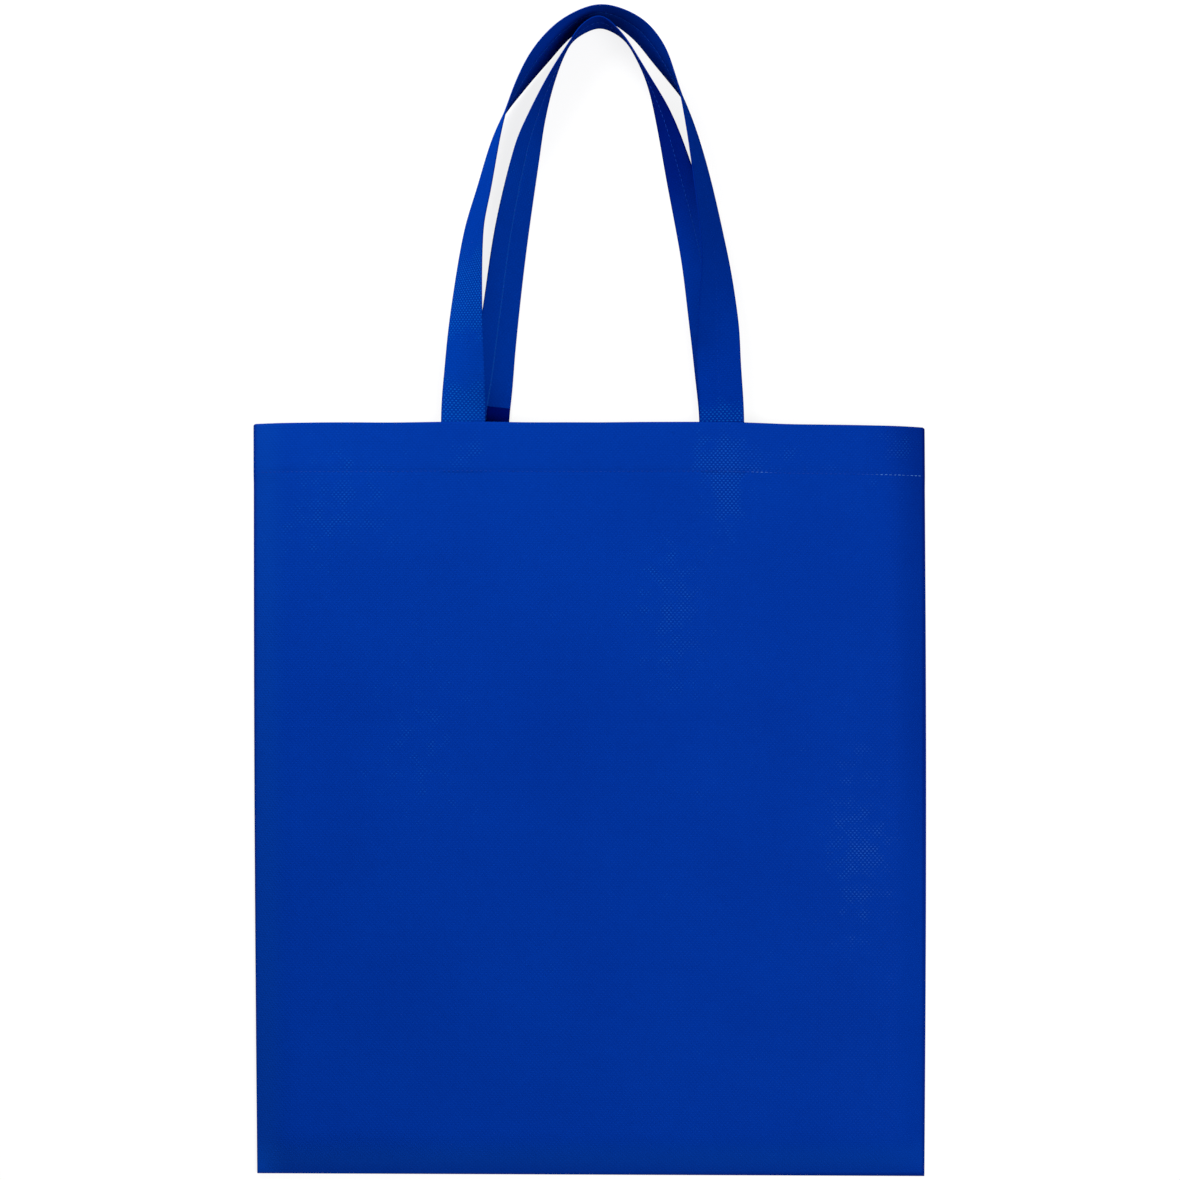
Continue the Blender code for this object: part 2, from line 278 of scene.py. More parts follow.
def threadMaterial():
    material = bpy.data.materials.new("blueThread")
    material.use_nodes = True
    tree = material.node_tree
    shader = tree.nodes["Principled BSDF"]
    shader.inputs["Roughness"].default_value = threadLook["roughness"]
    shader.inputs["Specular IOR Level"].default_value = threadLook["specular"]
    place = addNode(tree, "ShaderNodeTexCoord").outputs["Object"]
    parts = addNode(tree, "ShaderNodeSeparateXYZ")
    join(tree, place, parts.inputs[0])
    across = parts.outputs["X"]
    # the bright colour, in a short run and towards the right seam, is a painted highlight on the stitches
    shortRun = mathNode(tree, "ABSOLUTE", mathNode(tree, "SUBTRACT", across, threadLook["shortRun"]))
    shortRun = mapRange(tree, shortRun, *threadLook["shortRunHalf"], threadLook["shortRunMost"], 0.0)
    rightRun = mapRange(tree, across, *threadLook["rightRun"], 0.0, 1.0)
    runs = noiseNode(tree, place, threadLook["runScale"], 1.0)
    runs = mapRange(tree, runs, *threadLook["runEdge"], threadLook["runLeast"], 1.0)
    bright = mathNode(tree, "MULTIPLY", mathNode(tree, "MAXIMUM", shortRun, rightRun), runs)
    colour = colourMix(tree, bright, threadLook["plain"], threadLook["bright"])
    join(tree, colour, shader.inputs["Base Color"])
    bump = addNode(tree, "ShaderNodeBump")
    bump.inputs["Strength"].default_value = threadLook["bumpStrength"]
    bump.inputs["Distance"].default_value = threadLook["bumpDistance"]
    join(tree, noiseNode(tree, place, threadLook["twistScale"], 2.0), bump.inputs["Height"])
    join(tree, bump.outputs["Normal"], shader.inputs["Normal"])
    return material


strapSheet = {**sheetLook, "coat": 0.012, "specular": 0.0}
frontSheet = {**strapSheet, "glint": (0.004, 0.125, 0.580), "bumpStrength": 0.7}
backSheet = {**strapSheet, "bumpStrength": 0.5}
bodyFinish = sheetMaterial("nonWovenBody", sheetLook, bonding["patchScale"])
frontFinish = sheetMaterial("nonWovenFrontStrap", frontSheet, 22.0)
backFinish = sheetMaterial("nonWovenBackStrap", backSheet, 26.0)
threadFinish = threadMaterial()
print("materials made")


# meshes from rings of points

def loftObject(name, rings, finish, marks):
    # rings are closed; the map runs round the rings and along them, both in metres
    mesh = bmesh.new()
    rows = [[mesh.verts.new(point) for point in ring] for ring in rings]
    count = len(rows[0])
    around = [0.0]
    middleRing = rings[len(rings) // 3]
    for i in range(count):
        around.append(around[-1] + (middleRing[(i + 1) % count] - middleRing[i]).length)
    along = [0.0]
    for ring, following in zip(rings, rings[1:]):
        steps = [(b - a).length for a, b in zip(ring, following)]
        along.append(along[-1] + sum(steps) / count)
    layer = mesh.loops.layers.uv.new("sheetMap")
    for r, (row, following) in enumerate(zip(rows, rows[1:])):
        for i in range(count):
            after = (i + 1) % count
            quad = mesh.faces.new((row[i], row[after], following[after], following[i]))
            corners = ((i, r), (i + 1, r), (i + 1, r + 1), (i, r + 1))
            for loop, (column, line) in zip(quad.loops, corners):
                loop[layer].uv = (around[column], along[line])
    mesh.faces.new(list(reversed(rows[0])))
    mesh.faces.new(rows[-1])
    bmesh.ops.recalc_face_normals(mesh, faces=mesh.faces)
    data = bpy.data.meshes.new(name)
    mesh.to_mesh(data)
    mesh.free()
    data.shade_smooth()
    data.set_sharp_from_angle(angle=radians(50))
    for markName, values in marks.items():
        attribute = data.attributes.new(markName, "FLOAT", "POINT")
        attribute.data.foreach_set("value", values)
    data.materials.append(finish)
    return addObject(name, data)


# bag body

bagBody = {
    "width": 0.380,
    "height": 0.4262,
    "depth": 0.012,
    "ply": 0.0005,
    "hemDepth": 0.030,
    "stitchDrop": 0.0277,
    "seamAllowance": 0.008,
    "seamRoll": 0.0007,
    "seamGroove": 0.0007,
    "seamSteps": 5,
    "leftSlope": 0.024,
    "rightSlope": 0.024,
    "bottomSlope": 0.026,
    "leftSlopeSteps": 14,
    "rightSlopeSteps": 18,
    "slopePacking": 1.3,  # draws the slope's lines closer to the seams
    "leftTaper": 0.002,
    "leftOut": 0.0008,
    "leftBulge": 0.0006,
    "rightOut": 0.0006,
    "rightBulge": 0.0010,
    "bottomLean": 0.0008,
    "mouthLift": 0.0009,
    "mouthWave": (0.00018, 30, 0.5, 1.7),
    "leftCornerDrop": 0.0004,
    "rightCornerDrop": 0.0016,
    "strapLift": 0.0003,
    "strapPrint": 0.00042,
    "printEdge": 0.0016,
    "stitchValley": 0.00018,
    "valleyReach": 0.0016,
    "stitchPull": 0.2,
    "hemLift": 0.00018,
    "acrossSteps": 64,
    "alongSteps": 96,
}
hemStitch = {
    "pitch": 0.0026,
    "length": 0.0018,
    "thickness": 0.00038,
    "sideInset": 0.0035,
    "topLift": 0.00006,
    "backLift": 0.00012,
    "steps": 320,
}
# shallow swells and hollows of the front panel: x, y from the mouth, spread in x and y, height
swells = (
    (0.000, -0.215, 0.120, 0.140, -0.0020),
    (-0.130, -0.060, 0.050, 0.045, 0.0008),
    (-0.060, -0.170, 0.045, 0.080, -0.0008),
    (-0.105, -0.215, 0.030, 0.100, 0.0007),
    (0.040, -0.125, 0.035, 0.075, 0.0010),
    (0.085, -0.060, 0.022, 0.050, -0.0005),
    (0.120, -0.270, 0.032, 0.090, 0.0010),
    (0.000, -0.290, 0.070, 0.060, -0.0006),
    (-0.125, -0.360, 0.050, 0.040, -0.0006),
    (0.070, -0.370, 0.060, 0.030, 0.0006),
    (0.158, -0.030, 0.018, 0.035, -0.0012),
)
# small unevenness of the sheet: height, waves per metre in x and y, place in the noise
looseRipples = ((0.0008, 22, 16, 3.1), (0.00025, 75, 60, 8.4))
seamRipple = (0.0005, 30, 62, 5.7)
foldRipple = (0.0005, 48, 40, 2.3)
handles = {
    "spacing": 0.1463,
    "shift": 0.0019,
    "rise": 0.2320,
    "backLegStep": 0.0132,
    "nestStep": 0.0052,
    "floorGap": 0.0005,
    "strapWidth": 0.025,
    "strapThickness": 0.0012,
    "endMargin": 0.0015,
    "clearance": 0.0003,
}
mouthY = bodyLow.y + bagBody["height"]
legLeft = handles["shift"] - handles["spacing"] / 2
legRight = handles["shift"] + handles["spacing"] / 2


def share(value, start, length):
    return min(1.0, max(0.0, (value - start) / length))


def smoothShare(value, start, length):
    part = share(value, start, length)
    return part * part * (3 - 2 * part)


def quarterWave(part):
    return sin(pi / 2 * part)


def bell(distance, width):
    return cos(pi / 2 * min(1.0, abs(distance) / width)) ** 2


def hill(acrossDistance, alongDistance, spreadX, spreadY):
    return exp(-(acrossDistance / spreadX) ** 2 - (alongDistance / spreadY) ** 2)


def ripple(x, y, settings):
    height, wavesX, wavesY, place = settings
    return height * noise.noise(Vector((x * wavesX, y * wavesY, place)))


def panelSwell(x, y):
    # the loose panel's shallow swells, none at its sewn edges and less in the hem
    fromSeam = bagBody["width"] / 2 - abs(x)
    fromFold = y + bagBody["height"]
    free = smoothShare(fromSeam, 0.004, 0.03) * smoothShare(fromFold, 0.004, 0.04)
    free *= 1 - 0.45 * smoothShare(y, -0.04, 0.03)
    height = sum(ripple(x, y, settings) for settings in looseRipples)
    for atX, atY, spreadX, spreadY, lift in swells:
        height += lift * hill(x - atX, y - atY, spreadX, spreadY)
    height += bell(fromSeam - 0.012, 0.016) * ripple(x, y, seamRipple)
    height += bell(fromFold - 0.012, 0.014) * ripple(x, y, foldRipple)
    return height * free


def hemRelief(x, y):
    # the strap ends print through the hem, and the hem's stitches pull the sheet down
    relief = 0.0
    edge = bagBody["printEdge"]
    for leg in (legLeft, legRight):
        side = smoothShare(handles["strapWidth"] / 2 + edge / 2 - abs(x - leg), 0.0, edge)
        end = smoothShare(y + bagBody["hemDepth"] - handles["endMargin"] + 0.001, 0.0, 0.002)
        relief += bagBody["strapPrint"] * side * end
    valley = bell(y + bagBody["stitchDrop"], bagBody["valleyReach"])
    pull = 1 - bagBody["stitchPull"] * (1 - cos(2 * pi * x / hemStitch["pitch"]))
    relief -= bagBody["stitchValley"] * valley * pull
    return relief + bagBody["hemLift"] * smoothShare(y, -bagBody["stitchDrop"], 0.004)


def frontHeight(x, y, roll):
    half = bagBody["width"] / 2
    edge = 4 * roll  # two rolled plies, one on the other
    left = quarterWave(share(x, -half, bagBody["leftSlope"]))
    right = quarterWave(share(-x, -half, bagBody["rightSlope"]))
    bottom = quarterWave(share(y, -bagBody["height"], bagBody["bottomSlope"]))
    body = left * right * bottom
    return edge + (bagBody["depth"] - edge) * body + (panelSwell(x, y) + hemRelief(x, y)) * body


def backHeight(x, y):
    # the back panel is flat on the table; only the hem's stitches lift it, away from the seams
    inside = bell(x, bagBody["width"] / 2)
    relief = bagBody["stitchValley"] * bell(y + bagBody["stitchDrop"], bagBody["valleyReach"])
    return relief * min(1.0, 3 * inside)


def frontInside(x, y, roll, wall):
    # the wall keeps its thickness where the panel slopes
    step = 0.0001
    slopeX = (frontHeight(x + step, y, roll) - frontHeight(x - step, y, roll)) / (2 * step)
    slopeY = (frontHeight(x, y + step, roll) - frontHeight(x, y - step, roll)) / (2 * step)
    return frontHeight(x, y, roll) - wall * sqrt(1 + slopeX ** 2 + min(slopeY ** 2, 0.2))


def acrossPlaces(limit):
    # places across the bag, close together on the slopes at both seams
    leftSlope, rightSlope = bagBody["leftSlope"], bagBody["rightSlope"]
    leftSteps, rightSteps = bagBody["leftSlopeSteps"], bagBody["rightSlopeSteps"]
    start, stop, steps = leftSlope - limit, limit - rightSlope, bagBody["acrossSteps"]
    packing = bagBody["slopePacking"]
    left = [leftSlope * (step / leftSteps) ** packing - limit for step in range(leftSteps)]
    middle = [start + (stop - start) * step / steps for step in range(steps + 1)]
    right = [limit - rightSlope * (1 - step / rightSteps) ** packing for step in range(1, rightSteps + 1)]
    return left + middle + right


def closedRing(y, front, rightEdge, back):
    leftEdge = [(-x, z) for x, z in reversed(rightEdge)]
    return [Vector((x, y, z)) for x, z in front + rightEdge + back + leftEdge]


def outerRing(y, roll):
    half = bagBody["width"] / 2
    places = acrossPlaces(half - roll)
    front = [(x, frontHeight(x, y, roll)) for x in places]
    back = [(x, backHeight(x, y)) for x in reversed(places)]
    rightEdge = []
    for turn in (67, 45, 22, 0, -25, -50):
        rightEdge.append((half - roll + roll * cos(radians(turn)), roll * (3 + sin(radians(turn)))))
    rightEdge.append((half - bagBody["seamGroove"], 2 * roll))
    for turn in (50, 25, 0, -22, -45, -67):
        rightEdge.append((half - roll + roll * cos(radians(turn)), roll * (1 + sin(radians(turn)))))
    return closedRing(y, front, rightEdge, back)


def innerRing(y, roll, wall):
    half = bagBody["width"] / 2
    root = half - bagBody["seamGroove"] - roll
    tip = half - bagBody["seamAllowance"]
    ply = bagBody["ply"]
    middle = 2 * roll
    places = acrossPlaces(root)
    front = [(x, frontInside(x, y, roll, wall)) for x in places]
    back = [(x, backHeight(x, y) + wall) for x in reversed(places)]
    # the seam allowance lies between the panels as a fin with a notched edge
    steps = bagBody["seamSteps"]
    outwards = [tip + (root - tip) * step / steps for step in range(steps + 1)]
    inwards = [root + (tip - root) * step / steps for step in range(steps + 1)]
    rightEdge = [(x, middle + ply) for x in inwards] + [(tip - ply, middle)]
    rightEdge += [(x, middle - ply) for x in outwards]
    return closedRing(y, front, rightEdge, back)


def foldRing(y, roll, squeeze):
    # the round of the bottom fold, pressed together about the middle of the edge
    ring = outerRing(y, roll)
    for point in ring:
        point.z = 2 * roll + (point.z - 2 * roll) * squeeze
    return ring


def betweenRings(first, second, part, y):
    ring = [a.lerp(b, part) for a, b in zip(first, second)]
    for point in ring:
        point.y = y
    return ring


def bodyLines():
    # places along the bag, close together at the fold's slope and round the hem's stitches
    bottom = -bagBody["height"]
    slope = [bottom + bagBody["bottomSlope"] * part for part in (0.12, 0.2, 0.3, 0.42, 0.55, 0.7, 0.85)]
    start = bottom + bagBody["bottomSlope"]
    stop = -bagBody["hemDepth"] - 0.006
    steps = bagBody["alongSteps"]
    panel = [start + (stop - start) * step / steps for step in range(steps + 1)]
    rest = [-bagBody["hemDepth"] - offset for offset in (0.0045, 0.003, 0.0015)]
    return slope + panel + rest + [-bagBody["hemDepth"] - bagBody["ply"]]


def hemLines():
    drop = bagBody["stitchDrop"]
    close = [-drop + offset for offset in (-0.0015, -0.001, -0.0005, 0, 0.0005, 0.001, 0.0015, 0.0025)]
    start, stop = -drop + 0.0042, -2 * bagBody["ply"]
    rest = [start + (stop - start) * step / 12 for step in range(13)]
    return [-bagBody["hemDepth"]] + close + rest


def rollAt(y):
    # the seams grow a little thicker where the hem's second ply joins them
    thicker = smoothShare(y, -bagBody["hemDepth"] - 0.006, 0.009)
    return bagBody["seamRoll"] + bagBody["ply"] / 2 * thicker


def bodyRings():
    seamRoll = bagBody["seamRoll"]
    ply = bagBody["ply"]
    hemRoll = seamRoll + ply / 2
    hemWall = 2 * ply
    fold = 2 * seamRoll
    bottom = -bagBody["height"]
    nose = cos(radians(12))
    outside = []
    for turn in (12, 28, 46, 66):
        y = bottom + fold * (nose - cos(radians(turn)))
        outside.append(foldRing(y, seamRoll, sin(radians(turn))))
    lines = [bottom + fold] + [y for y in bodyLines() if y > bottom + fold + 0.0002]
    outside += [outerRing(y, rollAt(y)) for y in lines + hemLines()]
    inside = [innerRing(y, rollAt(y), hemWall) for y in reversed(hemLines())]
    inside += [innerRing(y, rollAt(y), ply) for y in reversed(lines)]
    rim = []
    for turn in (15, 35, 55, 75, 90, 105, 125, 145, 165):
        part = (1 - cos(radians(turn))) / 2
        y = -hemWall * (1 - sin(radians(turn)))
        rim.append(betweenRings(outerRing(y, hemRoll), innerRing(y, hemRoll, hemWall), part, y))
    return outside + rim + inside


def settle(point):
    # the seams bow out, the left one leans in, the mouth lifts at the straps and hangs at its corners
    height = share(point.y, -bagBody["height"], bagBody["height"])
    half = bagBody["width"] / 2
    left = share(-point.x, 0, half)
    right = share(point.x, 0, half)
    lift = bagBody["mouthLift"] * (1 - smoothShare(point.x, 0.07, 0.05))
    for leg in (legLeft, legRight):
        lift += bagBody["strapLift"] * bell(point.x - leg, 2 * handles["strapWidth"])
    drop = bagBody["leftCornerDrop"] * left ** 2 + bagBody["rightCornerDrop"] * right ** 3
    waveHeight, waves, waveY, waveZ = bagBody["mouthWave"]
    wave = waveHeight * noise.noise(Vector((point.x * waves, waveY, waveZ))) * height ** 6
    lean = bagBody["bottomLean"] * (0.25 + point.x / half) * (1 - height)
    moved = Vector(point)
    moved.x += bagBody["leftTaper"] * left * (1 - height)
    moved.x -= (bagBody["leftOut"] + bagBody["leftBulge"] * sin(pi * height)) * left ** 3
    moved.x += (bagBody["rightOut"] + bagBody["rightBulge"] * sin(pi * height)) * right ** 3
    moved.y += (lift - drop) * height + wave - lean
    return moved


def toWorld(point):
    return Vector((point.x, point.y + mouthY, point.z))


# places of painted highlight on the dots: x, y, spread in x and y, how much
glintPlaces = (
    (-0.148, 0.048, 0.040, 0.034, 0.30),
    (0.075, 0.080, 0.014, 0.016, 0.62),
    (0.078, 0.052, 0.010, 0.018, 0.50),
    (0.047, -0.003, 0.022, 0.058, 0.26),
    (0.152, -0.145, 0.020, 0.060, 0.34),
    (0.175, 0.086, 0.010, 0.010, 0.35),
    (0.105, 0.076, 0.016, 0.010, 0.22),
    (-0.070, 0.080, 0.014, 0.014, 0.34),
    (-0.105, -0.075, 0.050, 0.050, 0.16),
)


# the first three entries paint light on the left edge, the bottom fold and the upper left; the rest paint
# shade at the edges, the top right corner and in a band along the right seam
bodyShade = {
    "leftPaintedLight": (0.26, 0.006, 0.016),  # how much, how far in from the edge, how wide
    "bottomPaintedLight": (0.24, 0.011, 0.014),
    "upperLeftPaintedLight": 0.16,
    "edgeDark": 0.45,
    "sideEdge": 0.0016,
    "bottomEdge": 0.0018,
    "cornerDark": 0.32,
    "cornerAcross": (0.155, 0.035),
    "cornerReach": 0.09,
    "bandDark": 0.14,
    "bandWidth": 0.022,
}


def bodyMarks(rings):
    # painted highlight on the dots, painted light at the left edge, the bottom fold and the upper left, and
    # painted shade at the edges, the top right corner and along the right seam, as values on the sheet
    paintedGlint, paintedLight, shaded = [], [], []
    half = bagBody["width"] / 2
    leftPaintedLight, leftIn, leftWide = bodyShade["leftPaintedLight"]
    bottomPaintedLight, bottomIn, bottomWide = bodyShade["bottomPaintedLight"]
    reach = bodyShade["cornerReach"]
    for ring in rings:
        for point in ring:
            fromLeft, fromRight = point.x + half, half - point.x
            fromFold = point.y - mouthY + bagBody["height"]
            paintedGlint.append(sum(most * hill(point.x - x, point.y - y, spreadX, spreadY)
                               for x, y, spreadX, spreadY, most in glintPlaces))
            lightened = leftPaintedLight * bell(fromLeft - leftIn, leftWide)
            lightened += bottomPaintedLight * bell(fromFold - bottomIn, bottomWide)
            upperLeft = share(-point.x, -half, 2 * half) * share(point.y, mouthY - 0.16, 0.16)
            paintedLight.append(lightened + bodyShade["upperLeftPaintedLight"] * upperLeft)
            edge = bell(half - abs(point.x), bodyShade["sideEdge"])
            edge = max(edge, bell(fromFold, bodyShade["bottomEdge"]))
            corner = share(point.x, *bodyShade["cornerAcross"]) * share(point.y, mouthY - reach, reach)
            band = bell(fromRight, bodyShade["bandWidth"]) * (0.6 + 0.4 * cos(14 * point.y))
            dark = bodyShade["edgeDark"] * edge + bodyShade["cornerDark"] * corner
            shaded.append(dark + bodyShade["bandDark"] * band)
    return {"paintedGlint": paintedGlint, "paintedLight": paintedLight, "shaded": shaded}


rings = [[toWorld(settle(point)) for point in ring] for ring in bodyRings()]
bagSheet = loftObject("bagBodySheet", rings, bodyFinish, bodyMarks(rings))
print("bag body made", len(bagSheet.data.polygons), "faces")


# handles

# side in half spacings, height in rises, lower edge in strap widths, roll in degrees
frontPlaces = (
    (-0.984, 0.125, 0.44, 21),
    (-0.967, 0.270, 0.44, 42),
    (-0.914, 0.462, 0.28, 61),
    (-0.842, 0.561, 0.18, 67),
    (-0.703, 0.733, 0.06, 80),
    (-0.539, 0.832, 0.02, 98),
    (-0.384, 0.901, 0.01, 107),
    (-0.190, 0.963, 0.00, 103),
    (0.065, 1.000, 0.00, 94),
    (0.336, 0.962, 0.00, 105),
    (0.502, 0.901, 0.01, 106),
    (0.628, 0.832, 0.02, 91),
    (0.700, 0.785, 0.06, 81),
    (0.815, 0.635, 0.20, 67),
    (0.931, 0.413, 0.42, 51),
    (0.960, 0.268, 0.49, 26),
    (0.970, 0.161, 0.48, 0),
)
backPlaces = (
    (-0.944, 0.128, 0.03, 26),
    (-0.879, 0.279, 0.00, 37),
    (-0.785, 0.481, 0.00, 43),
    (-0.651, 0.681, 0.00, 58),
    (-0.576, 0.756, 0.00, 71),
    (-0.447, 0.856, 0.00, 86),
    (-0.280, 0.952, 0.00, 97),
    (-0.192, 0.979, 0.00, 92),
    (-0.040, 1.000, 0.00, 89),
    (0.112, 0.975, 0.00, 96),
    (0.205, 0.945, 0.00, 98),
    (0.368, 0.856, 0.00, 91),
    (0.506, 0.756, 0.00, 73),
    (0.629, 0.631, 0.00, 57),
    (0.802, 0.431, 0.00, 37),
    (0.885, 0.279, 0.00, 27),
    (0.948, 0.153, 0.03, 14),
)
strap = {
    "ply": 0.00045,
    "edgeRadius": 0.00038,
    "edgeWidth": 0.006,
    "seamShift": 0.0008,
    "flapGap": 0.00012,
    "seamDip": 0.00022,
    "seamDipWidth": 0.0018,
    "seamLine": 0.00050,
    "outerDip": 0.00010,
    "outerDipWidth": 0.0022,
    "hollow": 0.00004,  # half the space between two plies
    "steps": 300,
    "smoothing": 10,
    "endSteps": 8,
    "cutBack": 0.0106,
    "cutDepth": 0.00034,
    "cutMargin": 0.0008,
    "cutShade": 0.9,
    "edgeShade": 0.22,
    "edgeShadeWidth": 0.0012,
    "seamHighlight": 1.5,
    "seamHighlightLoss": 0.8,  # share of the seam's painted highlight that is gone at the right leg
    "darkFrom": 0.15,  # where the inner face's painted shade starts above the mouth, and how far it takes
    "darkReach": 0.05,
}
strapStitch = {
    "pitch": 0.0029,
    "length": 0.0020,
    "thickness": 0.00030,
    "outerLift": -0.00008,
    "innerLift": 0.00006,
}


def smoothCurve(places, steps):
    knots = [0.0]
    for first, second in zip(places, places[1:]):
        knots.append(knots[-1] + hypot(second[0] - first[0], second[1] - first[1]))
    slopes = [(0.0, 1.0, 0.0, 0.0)]
    for i in range(1, len(places) - 1):
        span = knots[i + 1] - knots[i - 1]
        slopes.append(tuple((b - a) / span for a, b in zip(places[i - 1], places[i + 1])))
    slopes.append((0.0, -1.0, 0.0, 0.0))
    curve = []
    piece = 0
    for step in range(steps + 1):
        at = knots[-1] * step / steps
        while piece < len(places) - 2 and at > knots[piece + 1]:
            piece += 1
        length = knots[piece + 1] - knots[piece]
        t = (at - knots[piece]) / length
        blendA, blendB = 2 * t ** 3 - 3 * t ** 2 + 1, -2 * t ** 3 + 3 * t ** 2
        pullA, pullB = (t ** 3 - 2 * t ** 2 + t) * length, (t ** 3 - t ** 2) * length
        ends = zip(places[piece], places[piece + 1], slopes[piece], slopes[piece + 1])
        curve.append(tuple(a * blendA + b * blendB + sa * pullA + sb * pullB for a, b, sa, sb in ends))
    return curve


def evenCurve(curve, passes):
    # takes the small kinks out of a curve, and leaves both its ends where they are
    points = [list(place) for place in curve]
    for _ in range(passes):
        before = [list(place) for place in points]
        for i in range(2, len(points) - 2):
            points[i] = [(a + 2 * b + c) / 4 for a, b, c in zip(before[i - 1], before[i], before[i + 1])]
    return points


def handlePath(leftX, rightX, rise, level, places):
    middle, half = (leftX + rightX) / 2, (rightX - leftX) / 2
    stations = [(leftX, 0.0, level, 0.0)]
    for side, up, lowerEdge, roll in places:
        height = handles["floorGap"] + handles["strapWidth"] * (lowerEdge + sin(radians(roll)) / 2)
        stations.append((middle + half * side, rise * up, height, roll))
    stations.append((rightX, 0.0, level, 0.0))
    end = -bagBody["hemDepth"] + handles["endMargin"]
    tail = [end * (1 - step / strap["endSteps"]) for step in range(strap["endSteps"])]
    first = [(leftX, y, level, 0.0) for y in tail]
    last = [(rightX, y, level, 0.0) for y in reversed(tail)]
    return first + evenCurve(smoothCurve(stations, strap["steps"]), strap["smoothing"]) + last


def strapFrames(path, upperEdgeSide):
    frames = []
    for i, (x, y, z, roll) in enumerate(path):
        before, after = path[max(0, i - 1)], path[min(len(path) - 1, i + 1)]
        along = (Vector(after[:3]) - Vector(before[:3])).normalized()
        inward = Vector((along.y, -along.x, 0)).normalized()
        up = inward.cross(along)
        width = inward * upperEdgeSide * cos(radians(roll)) + up * sin(radians(roll))
        frames.append((Vector((x, y, z)), width, width.cross(along)))
    return frames


def strapSection(cut):
    # a strip with both edges folded in until they meet at the seam, thinner at its two folds;
    # where cut is 1 one of the flaps has been cut back and the ply under it shows
    radius = strap["edgeRadius"]
    fold = handles["strapWidth"] / 2 - radius
    seam = strap["seamShift"]
    hollowRadius = strap["hollow"]
    low, high = seam - strap["flapGap"] / 2, seam + strap["flapGap"] / 2

    def thick(s):
        rise = quarterWave(share(fold - abs(s), 0.0, strap["edgeWidth"]))
        return radius + (handles["strapThickness"] / 2 - radius) * rise

    def hollow(s):
        return max(hollowRadius, thick(s) - strap["ply"])

    def flap(s, amount=0.0):
        dip = strap["seamDip"] * bell(s - seam, strap["seamDipWidth"])
        return -thick(s) + dip + strap["cutDepth"] * amount

    def roundEnd(s, size, turns):
        return [(s + size * cos(radians(turn)), size * sin(radians(turn))) for turn in turns]

    outer = [-fold * cos(pi * step / 16) for step in range(17)]
    highFlap = [fold, fold - 0.0006, fold - 0.002, fold - 0.004, 0.6 * fold, 0.35 * fold]
    highFlap += [high + 0.001, high + strap["seamLine"], high]
    lowFlap = [low, low - strap["seamLine"], low - 0.001]
    lowFlap += [-0.2 * fold, -0.45 * fold, -0.7 * fold, 0.001 - fold, -fold]
    points = [(s, thick(s) - strap["outerDip"] * bell(s - seam, strap["outerDipWidth"])) for s in outer]
    points += roundEnd(fold, radius, (60, 30, 0, -30, -60))
    points += [(s, flap(s)) for s in highFlap]
    points += [(s, -hollow(s)) for s in (high + 0.0001, 0.35 * fold, 0.7 * fold, fold)]
    points += roundEnd(fold, hollowRadius, (-45, 0, 45))
    points += [(s, hollow(s)) for s in (fold, 0.5 * fold, 0, -0.5 * fold, -fold)]
    points += roundEnd(-fold, hollowRadius, (135, 180, 225))
    points += [(s, -hollow(s)) for s in (-fold, -0.7 * fold, -0.35 * fold, low - 0.0001)]
    points += [(s, flap(s, cut if s > strap["cutMargin"] - fold else 0.0)) for s in lowFlap]
    return points + roundEnd(-fold, radius, (240, 210, 180, 150, 120))


def addStops(path, y):
    # two places close together on the left leg, for the clean edge of the flap that is cut back
    result = []
    for here, following in zip(path, path[1:]):
        result.append(here)
        if here[1] < y <= following[1] and here[0] < 0:
            for offset in (-0.00008, 0.00008):
                part = (y + offset - here[1]) / (following[1] - here[1])
                result.append(tuple(a + (b - a) * part for a, b in zip(here, following)))
    return result + [path[-1]]


def placesSum(places, leg, height):
    return sum(most * bell(height - y, spread) for at, y, spread, most in places if at == leg)


def makeStrap(name, path, upperEdgeSide, finish, look):
    frames = strapFrames(path, upperEdgeSide)
    rings = []
    marks = {"paintedGlint": [], "paintedLight": [], "shaded": []}
    seam, line = strap["seamShift"], strap["seamLine"]
    halfWidth = handles["strapWidth"] / 2
    for centre, width, outward in frames:
        cut = 1.0 if look["cut"] and centre.x < 0 and centre.y < strap["cutBack"] else 0.0
        section = strapSection(cut)
        rings.append([toWorld(centre + width * s + outward * n) for s, n in section])
        side = share(centre.x, legLeft, legRight - legLeft)
        leg = 0 if centre.x < 0 else 1
        paintedGlint = placesSum(look["paintedGlint"], leg, centre.y)
        shade = placesSum(look["shade"], leg, centre.y)
        # the inner face is painted darker towards the top of the handle
        innerShade = look["innerDark"] * smoothShare(centre.y, strap["darkFrom"], strap["darkReach"])
        # a painted highlight along the seam line on the inner face, less of it towards the right leg and none
        # where the flap is cut back
        seamHighlight = strap["seamHighlight"] * (1 - cut) * (1 - strap["seamHighlightLoss"] * side)
        for s, n in section:
            inner = n < -strap["hollow"] - 0.00001
            # the right leg is painted darker and the left leg lighter, and the strap's edges get painted
            # shade
            dark = shade + look["dark"] * side
            dark += strap["edgeShade"] * bell(halfWidth - abs(s), strap["edgeShadeWidth"])
            lightening = look["paintedLight"] * (1 - side)
            if inner:
                dark += innerShade
                lightening += seamHighlight * bell(s - seam, line)
                if s < seam:
                    dark = max(dark, strap["cutShade"] * cut)
            marks["paintedGlint"].append(paintedGlint)
            marks["paintedLight"].append(lightening)
            marks["shaded"].append(dark)
    return loftObject(name, rings, finish, marks), frames


